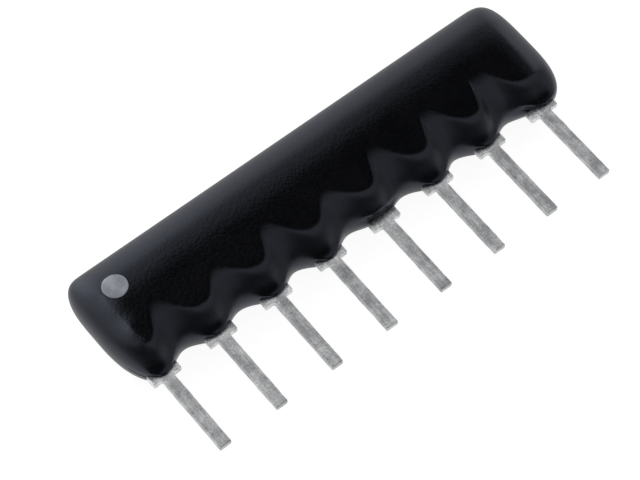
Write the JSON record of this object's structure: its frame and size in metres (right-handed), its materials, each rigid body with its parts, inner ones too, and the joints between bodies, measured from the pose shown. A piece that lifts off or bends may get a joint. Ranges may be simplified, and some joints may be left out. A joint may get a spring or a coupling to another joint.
{
  "type": "resistor network",
  "caption": "Single in-line thick-film resistor network: black dipped body with a scalloped lower edge, a dot at pin one and a row of flat tinned pins.",
  "frame": {"origin": "middle of the pin row, on the line of the shoulders' lower edges where it seats on a board, at half the terminal sheet's thickness", "axes": "+X along the row from pin one to the last pin, +Y from the pins to the top edge of the body, +Z out of the marked face, so the part lies on its back"},
  "size_m": [0.0203, 0.0086, 0.0022],
  "materials": {
    "epoxy_coating": "dipped epoxy, black, semi-gloss with a fine uneven surface",
    "dot_ink": "printed ink, light blue-grey, matt",
    "alumina": "fired alumina, white, matt",
    "conductor_film": "fired silver-palladium film, grey",
    "resistor_film": "fired ruthenium oxide film, black",
    "overglaze_glass": "fired glass film, dark green",
    "solder": "tin solder, soft grey",
    "tin_plate": "matt tin plating, mottled, with drawing marks"
  },
  "bodies": {
    "root": {"coating": "epoxy_coating", "pin_one_dot": "dot_ink", "substrate": "alumina", "bus_conductor": "conductor_film", "overglaze": "overglaze_glass", "pad_2": "conductor_film", "pad_3": "conductor_film", "pad_4": "conductor_film", "pad_5": "conductor_film", "pad_6": "conductor_film", "pad_7": "conductor_film", "pad_8": "conductor_film", "resistor_1": "resistor_film", "resistor_2": "resistor_film", "resistor_3": "resistor_film", "resistor_4": "resistor_film", "resistor_5": "resistor_film", "resistor_6": "resistor_film", "resistor_7": "resistor_film", "solder_1": "solder", "solder_2": "solder", "solder_3": "solder", "solder_4": "solder", "solder_5": "solder", "solder_6": "solder", "solder_7": "solder", "solder_8": "solder", "terminal_1": "tin_plate", "terminal_2": "tin_plate", "terminal_3": "tin_plate", "terminal_4": "tin_plate", "terminal_5": "tin_plate", "terminal_6": "tin_plate", "terminal_7": "tin_plate", "terminal_8": "tin_plate"}
  },
  "joints": []
}
